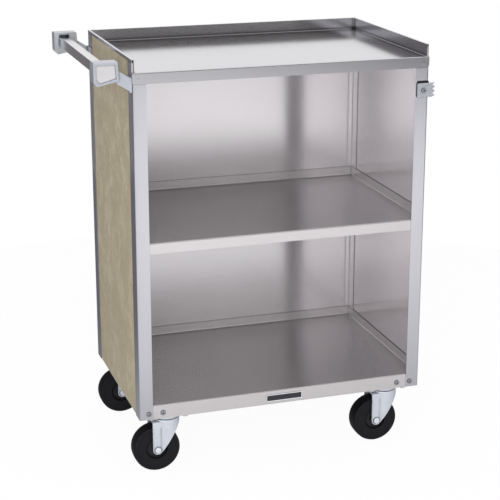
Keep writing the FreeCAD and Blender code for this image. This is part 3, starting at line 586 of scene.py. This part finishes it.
class CART_OT_sheet_metal(bpy.types.Operator):
    """Brushed stainless on shelves, posts, walls and bolsters, with welds, folds and returns"""
    bl_idname = "cart.sheet_metal"
    bl_label = "Sheet metal"

    def execute(self, context):
        finish = context.scene.cart_finish
        trim = context.scene.cart_trim
        # Painted shade: a dark line along the folds of the top shelf
        tray = brushed_stainless(
            "stainless_tray_brushed_lengthwise", finish.tray_steel, "x", roughness=0.12, draw=0.5,
            level_haze=0.05, shade_reach=10 * MM, shade_tone=0.0)
        # Painted shade: the level faces of the lower shelves are darkened
        shelf = brushed_stainless(
            "stainless_shelf_brushed_lengthwise", finish.deck_steel, "x", roughness=0.25, draw=0.8,
            haze=0.2, level_haze=0.2, level_shade=0.3)
        upright = brushed_stainless(
            "stainless_post_brushed_upright", finish.steel, "z", roughness=0.22, draw=0.5)
        # Painted shade: the faces of the front posts turned to the back are darkened
        front = brushed_stainless(
            "stainless_front_post_brushed_upright", finish.steel, "z", roughness=0.22, draw=0.5,
            back_shade=0.7)
        side_wall = brushed_stainless(
            "stainless_side_wall_brushed_level", finish.wall_steel, "y", roughness=0.13, draw=0.5,
            haze=0.15)
        back_wall = brushed_stainless(
            "stainless_back_wall_brushed_level", finish.wall_steel, "x", roughness=0.18, draw=0.85,
            haze=0.15)
        finish_nodes(("top_shelf",), tray)
        finish_nodes(("middle_shelf", "bottom_shelf"), shelf)
        finish_nodes(("rear_left_post", "rear_right_post", "left_bolster", "right_bolster"), upright)
        finish_nodes(("front_left_post", "front_right_post"), front)
        finish_nodes(("left_panel", "right_panel"), side_wall)
        finish_nodes(("back_panel",), back_wall)
        self.make_welds(trim, tray)
        self.make_folds(trim, shelf)
        self.make_returns(trim, back_wall)
        return {"FINISHED"}

    def make_welds(self, trim, tray):
        """Weld marks of the top lip. Each swells by h(1 - (r/R)^2)^2 from the face, and ends in the
        sheet."""
        low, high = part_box("top_shelf")
        share = np.linspace(0, 1, WELD_POINTS)
        swell = np.stack([trim.weld_radius * share, -trim.weld_height * (1 - share ** 2) ** 2], axis=1)
        profile = np.concatenate([swell, [[0, trim.shelf_sheet / 2]]])
        for side, x in (("left", low.x + trim.weld_inset), ("right", high.x - trim.weld_inset)):
            centre = Vector((x, low.y, low.z + trim.weld_rise))
            points, faces = turned_button(profile, centre, WELD_TURN)
            new_piece("weld_mark_" + side, points, faces, tray, "cart")

    def make_folds(self, trim, shelf):
        """Inside of each fold between deck and flange: a corner filled to a quarter of a circle."""
        sheet = trim.shelf_sheet
        radius = trim.fold_radius
        hollow = arc((radius, radius), radius, 180, 270, FOLD_POINTS)
        section = np.concatenate([[[0, 0]], hollow])
        for name in ("middle_shelf", "bottom_shelf"):
            low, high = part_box(name)
            deck = high.z - trim.flange_height
            left = low.x + sheet
            right = high.x - sheet
            back = high.y - sheet
            lip = low.y + 2 * sheet
            for side, wall, inward in (("left", left, 1), ("right", right, -1)):
                points, faces = closed_bar("y", section * (inward, 1) + (wall, deck), lip, back)
                new_piece(name + "_fold_" + side, points, faces, shelf, "cart")
            points, faces = closed_bar("x", section * (-1, 1) + (back, deck), left, right)
            new_piece(name + "_fold_back", points, faces, shelf, "cart")

    def make_returns(self, trim, back_wall):
        """Skin of the back panel's returns: hollow fold in the corner, flat, and a rounded hem at the front
        edge."""
        low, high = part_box("back_panel")
        sheet = trim.panel_sheet
        back = high.y - sheet
        radius = trim.fold_radius
        hem = trim.hem_radius
        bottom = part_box("bottom_shelf")[1].z
        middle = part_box("middle_shelf")[1].z
        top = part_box("top_shelf")[1].z
        lower = ("lower", bottom, middle - trim.flange_height - trim.shelf_sheet)
        upper = ("upper", middle, top - trim.rim_height - trim.shelf_sheet)
        hollow = arc((radius, back - radius), radius, 90, 180, FOLD_POINTS)
        edge = arc((0, low.y + hem), hem, 90, -90, HEM_POINTS)
        sunk = -sheet / 2
        section = np.concatenate([hollow, edge, [[sunk, low.y], [sunk, back]]])
        for side, wall, inward in (("left", low.x + sheet, 1), ("right", high.x - sheet, -1)):
            outline = section * (inward, 1) + (wall + inward * trim.skin, 0)
            for level, floor, ceiling in (lower, upper):
                points, faces = closed_bar("z", outline, floor, ceiling)
                name = "_".join(("return", side, level))
                new_piece(name, points, faces, back_wall, "cart")


class CART_OT_cladding(bpy.types.Operator):
    """Mottled laminate on the outside of the walls"""
    bl_idname = "cart.cladding"
    bl_label = "Cladding"

    def execute(self, context):
        laminate = mottled_laminate("vinyl_laminate_mottled", context.scene.cart_finish)
        finish_nodes(("left_laminate", "right_laminate", "back_laminate"), laminate)
        return {"FINISHED"}


class CART_OT_handle(bpy.types.Operator):
    """Push handle: square tube, cast brackets and their blank inserts"""
    bl_idname = "cart.handle"
    bl_label = "Handle"

    def execute(self, context):
        finish = context.scene.cart_finish
        tube = brushed_stainless("stainless_tube_brushed", finish.tube, "y", roughness=0.22, draw=0.5)
        bracket = satin_casting("zinc_die_casting_satin", finish.casting, roughness=0.3, haze=0.3)
        insert = satin_casting("aluminium_insert_satin", finish.insert, roughness=0.3, haze=0.3)
        finish_nodes(("handle_tube",), tube)
        finish_nodes(("front_handle_bracket", "rear_handle_bracket"), bracket)
        finish_nodes(("front_bracket_insert", "rear_bracket_insert"), insert)
        return {"FINISHED"}


class CART_OT_small_fittings(bpy.types.Operator):
    """Screws, keeper plate and nameplate with its border"""
    bl_idname = "cart.small_fittings"
    bl_label = "Small fittings"

    def execute(self, context):
        finish = context.scene.cart_finish
        trim = context.scene.cart_trim
        screw = satin_casting("screw_steel_bright", finish.screw_steel, roughness=0.12, haze=0.0)
        silver = satin_casting("nameplate_border_silver", finish.bright_steel, roughness=0.3, haze=0.6)
        keeper = satin_casting("keeper_steel_plain", finish.keeper, roughness=0.25, haze=0.2)
        # Painted shadow: the black pad stands in for the shade in the gap above the keeper plate
        pad = moulded_black("keeper_pad_black_painted_shadow", finish.rubber, roughness=0.6, grain=0.8 * MM)
        finish_nodes(("base_screws", "handle_screws", "keeper_screw"), screw)
        finish_nodes(("keeper_plate",), keeper)
        finish_nodes(("keeper_pad",), pad)
        finish_nodes(("nameplate",), baked_enamel("nameplate_enamel", finish.enamel))

        # The border is a half-round bead carried round the plate's edge
        low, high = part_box("nameplate")
        inset = trim.border_width / 2
        corner = 1.0 * MM
        path = rounded_frame((low.x + inset, low.z + inset), (high.x - inset, high.z - inset), corner)
        points, faces = bead(path, True, low.y, -1, trim.border_width, trim.border_height)
        new_piece("nameplate_border", points, faces, silver, "cart")
        return {"FINISHED"}


class CART_OT_casters(bpy.types.Operator):
    """Zinc plated casters with moulded hubs and rubber tyres"""
    bl_idname = "cart.casters"
    bl_label = "Casters"

    def execute(self, context):
        finish = context.scene.cart_finish
        trim = context.scene.cart_trim
        plating = zinc_plating("zinc_plate_bright", finish, roughness=0.24)
        bright = satin_casting("race_steel_bright", finish.bright_steel, roughness=0.15, haze=0.0)
        satin = satin_casting("axle_zinc_satin", finish.zinc, roughness=0.25, haze=0.4)
        hub = moulded_black("hub_plastic_black", finish.hub, roughness=0.4, grain=0.6 * MM)
        rubber = moulded_black("tyre_rubber_black", finish.rubber, roughness=0.5, grain=0.9 * MM)
        finish_nodes(("caster_bolts",), bright)
        for corner in CORNERS:
            finish_nodes((corner + "_caster_plate", corner + "_fork", corner + "_axle_sleeve"), plating)
            finish_nodes((corner + "_kingpin", corner + "_swivel_balls"), bright)
            finish_nodes((corner + "_axle",), satin)
            finish_nodes((corner + "_wheel_hub",), hub)
            self.make_ribs(corner, trim, plating)
            self.make_tyre(corner, trim, rubber)
        return {"FINISHED"}

    def make_ribs(self, corner, trim, plating):
        """Rib pressed round each leg: down one edge, round under the axle and up the other edge."""
        low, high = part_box(corner + "_axle")
        axle = (low + high) / 2
        fork_low, fork_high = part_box(corner + "_fork")
        middle = (fork_low + fork_high) / 2
        radius = (trim.leg_left + trim.leg_right) / 2
        centre = axle.x + (trim.leg_right - trim.leg_left) / 2
        crown_depth = 20 * MM
        top = fork_high.z - crown_depth
        foot = arc((centre, axle.z), radius, 180, 360, RIB_FOOT_POINTS)
        path = np.concatenate([[[centre - radius, top]], foot, [[centre + radius, top]]])
        for side, outwards in (("front", -1), ("rear", 1)):
            face = middle.y + outwards * trim.leg_half
            points, faces = bead(path, False, face, outwards, trim.rib_width, trim.rib_height)
            name = "_".join((corner, "leg_rib", side))
            new_piece(name, points, faces, plating, corner + "_caster")

    def make_tyre(self, corner, trim, rubber):
        """Moulded tyre: its half section and the mirror of that, turned about the axle."""
        low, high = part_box(corner + "_tyre")
        half = tyre_profile(low, high, trim)
        profile = np.concatenate([half, half[-2::-1] * np.array([1, -1])])
        points = revolve_y(profile, (low + high) / 2, TYRE_TURN)
        faces = grid_faces(TYRE_TURN, len(profile), True, True)[:, ::-1].tolist()
        tyre = new_piece(corner + "_moulded_tyre", points, faces, rubber, corner + "_wheel")
        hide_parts(corner + "_tyre")


class CART_OT_stage(bpy.types.Operator):
    """Pale floor, soft studio light and the camera"""
    bl_idname = "cart.stage"
    bl_label = "Stage"

    def execute(self, context):
        stage = context.scene.cart_stage
        self.make_floor(context, stage)
        self.make_cards(context, stage)
        self.make_world(context, stage)
        self.make_lamp(context, stage)
        self.make_camera(context, stage)
        context.scene.view_settings.view_transform = "Standard"
        return {"FINISHED"}

    def make_floor(self, context, stage):
        """Flat disc of floor, plain white to the camera save for the shadow. The metal sees a painted
        reflection: a pool of light glowing on the floor in front of the cart, and dark floor behind."""
        material, tree, place = new_material("studio_floor")
        distance = add(tree, "ShaderNodeVectorMath", {0: place}, operation="LENGTH").outputs["Value"]
        fade = add(tree, "ShaderNodeMapRange", {
            "Value": distance, "From Min": stage.floor_near, "From Max": stage.floor_far}).outputs["Result"]
        # Painted reflection: in the metal the floor glows white in a pool of light in front of the cart,
        # and dark beyond it
        apart = add(tree, "ShaderNodeVectorMath", {
            0: place, 1: stage.pool_place}, operation="SUBTRACT").outputs[0]
        oval = add(tree, "ShaderNodeVectorMath", {
            0: apart, 1: stage.pool_size}, operation="DIVIDE").outputs[0]
        reach = add(tree, "ShaderNodeVectorMath", {0: oval}, operation="LENGTH").outputs["Value"]
        dim = add(tree, "ShaderNodeMapRange", {
            "Value": reach, "From Min": stage.pool_near, "From Max": stage.pool_far},
            interpolation_type="SMOOTHSTEP").outputs["Result"]
        ray = add(tree, "ShaderNodeLightPath").outputs
        mirrored = add(tree, "ShaderNodeMath", {
            0: ray["Is Glossy Ray"], 1: ray["Is Transmission Ray"]}, operation="MAXIMUM").outputs[0]
        dark = add(tree, "ShaderNodeMath", {0: dim, 1: mirrored}, operation="MULTIPLY").outputs[0]
        light = add(tree, "ShaderNodeMix", {
            "Factor": dark, "A": WHITE, "B": rgba(stage.floor_dark)}, data_type="RGBA").outputs["Result"]
        lifted = add(tree, "ShaderNodeMath", {
            0: fade, 1: stage.floor_lift}, operation="MAXIMUM").outputs[0]
        near = add(tree, "ShaderNodeMath", {
            0: ray["Is Camera Ray"], 1: lifted}, operation="MULTIPLY").outputs[0]
        share = add(tree, "ShaderNodeMath", {0: near, 1: mirrored}, operation="MAXIMUM").outputs[0]
        paint = add(tree, "ShaderNodeBsdfDiffuse", {"Color": rgba(stage.floor_colour)})
        glow = add(tree, "ShaderNodeEmission", {"Color": light, "Strength": 1.0})
        shader = add(tree, "ShaderNodeMixShader", {0: share, 1: paint.outputs[0], 2: glow.outputs[0]})
        add(tree, "ShaderNodeOutputMaterial", {"Surface": shader.outputs[0]})
        rim = arc((0, 0), stage.floor_radius, 0, 360, FLOOR_TURN + 1)[:-1]
        points = np.concatenate([rim, np.zeros((FLOOR_TURN, 1))], axis=1)
        self.make_surface(context, "studio_floor", points, material)

    def make_surface(self, context, name, points, material):
        """One flat face of the stage."""
        mesh = bpy.data.meshes.new(name)
        mesh.from_pydata(points.tolist(), [], [list(range(len(points)))])
        mesh.materials.append(material)
        surface = bpy.data.objects.new(name, mesh)
        context.scene.collection.objects.link(surface)
        return surface

    def make_cards(self, context, stage):
        """Upright glowing cards that only the metal sees, as painted reflections: the dim room above a
        white panel near the camera, a card behind the left end, and a narrow flag in front. Each fades from
        white over its left and lower edges."""
        cards = (("dim_room", stage.room_dim, stage.room_low, stage.room_high, stage.room_edge),
                 ("rear_card", stage.card_dim, stage.card_low, stage.card_high, stage.crisp_edge),
                 ("front_flag", stage.flag_dim, stage.flag_low, stage.flag_high, stage.crisp_edge))
        for name, tone, low, high, edge in cards:
            material, tree, place = new_material(name)
            where = add(tree, "ShaderNodeSeparateXYZ", {0: place}).outputs
            across = add(tree, "ShaderNodeMapRange", {
                "Value": where["X"], "From Min": low.x, "From Max": low.x + edge.x},
                interpolation_type="SMOOTHSTEP").outputs["Result"]
            up = add(tree, "ShaderNodeMapRange", {
                "Value": where["Z"], "From Min": low.z, "From Max": low.z + edge.z},
                interpolation_type="SMOOTHSTEP").outputs["Result"]
            share = add(tree, "ShaderNodeMath", {0: across, 1: up}, operation="MULTIPLY").outputs[0]
            paint = add(tree, "ShaderNodeMix", {
                "Factor": share, "A": WHITE, "B": rgba(tone)}, data_type="RGBA").outputs["Result"]
            # Painted reflection: the card glows with its tone and is seen only in the metal
            glow = add(tree, "ShaderNodeEmission", {"Color": paint, "Strength": 1.0})
            add(tree, "ShaderNodeOutputMaterial", {"Surface": glow.outputs[0]})
            corners = np.array([low, (high.x, low.y, low.z), high, (low.x, low.y, high.z)])
            card = self.make_surface(context, name, corners, material)
            card.visible_camera = False
            card.visible_diffuse = False
            card.visible_shadow = False

    def make_world(self, context, stage):
        """A white studio all round. The even light that it gives is a little less than the white that
        shows."""
        world = bpy.data.worlds.new("studio")
        world.use_nodes = True
        tree = world.node_tree
        tree.nodes.clear()
        ray = add(tree, "ShaderNodeLightPath").outputs
        mirrored = add(tree, "ShaderNodeMath", {
            0: ray["Is Camera Ray"], 1: ray["Is Glossy Ray"]}, operation="MAXIMUM").outputs[0]
        seen = add(tree, "ShaderNodeMath", {
            0: mirrored, 1: ray["Is Transmission Ray"]}, operation="MAXIMUM").outputs[0]
        sky = add(tree, "ShaderNodeMix", {
            "Factor": seen, "A": shaded(WHITE, stage.sky_level), "B": WHITE}, data_type="RGBA")
        shader = add(tree, "ShaderNodeBackground", {"Color": sky.outputs["Result"], "Strength": 1.0})
        add(tree, "ShaderNodeOutputWorld", {"Surface": shader.outputs[0]})
        context.scene.world = world

    def make_lamp(self, context, stage):
        """One large soft lamp to the left of the camera."""
        lamp = bpy.data.lights.new("key_softbox", "AREA")
        lamp.shape = "DISK"
        lamp.size = stage.key_size
        lamp.energy = stage.key_power
        key = bpy.data.objects.new("key_softbox", lamp)
        key.location = stage.key_place
        key.rotation_euler = (LAMP_TARGET - key.location).to_track_quat("-Z", "Y").to_euler()
        key.visible_glossy = False
        context.scene.collection.objects.link(key)

    def make_camera(self, context, stage):
        """Camera near the photograph's place and lens."""
        data = bpy.data.cameras.new("camera")
        data.lens = stage.lens
        data.sensor_width = SENSOR_WIDTH
        data.shift_y = stage.shift
        camera = bpy.data.objects.new("camera", data)
        camera.location = stage.camera_place
        camera.rotation_euler = (math.pi / 2 - stage.camera_pitch, 0, -stage.camera_yaw)
        context.scene.collection.objects.link(camera)
        context.scene.camera = camera


class VIEW3D_PT_cart(bpy.types.Panel):
    """Operators of the cart, in the order in which they run"""
    bl_idname = "VIEW3D_PT_cart"
    bl_label = "Utility cart"
    bl_space_type = "VIEW_3D"
    bl_region_type = "UI"
    bl_category = "Cart"

    def draw(self, context):
        for operator in OPERATORS:
            self.layout.operator(operator.bl_idname)


GROUPS = {"cart_finish": CartFinish, "cart_trim": CartTrim, "cart_stage": CartStage}
OPERATORS = (CART_OT_sheet_metal, CART_OT_cladding, CART_OT_handle, CART_OT_small_fittings,
             CART_OT_casters, CART_OT_stage)
CLASSES = (*GROUPS.values(), *OPERATORS, VIEW3D_PT_cart)


def register():
    """Register the classes and hang the property groups on the scene."""
    for made in CLASSES:
        bpy.utils.register_class(made)
    for name, group in GROUPS.items():
        setattr(bpy.types.Scene, name, bpy.props.PointerProperty(type=group))


def unregister():
    """Take the property groups and the classes away again."""
    for name in GROUPS:
        delattr(bpy.types.Scene, name)
    for made in reversed(CLASSES):
        bpy.utils.unregister_class(made)


def main():
    """Dress the cart."""
    register()
    bpy.ops.cart.sheet_metal()
    bpy.ops.cart.cladding()
    bpy.ops.cart.handle()
    bpy.ops.cart.small_fittings()
    bpy.ops.cart.casters()
    bpy.ops.cart.stage()


if __name__ == "__main__":
    main()
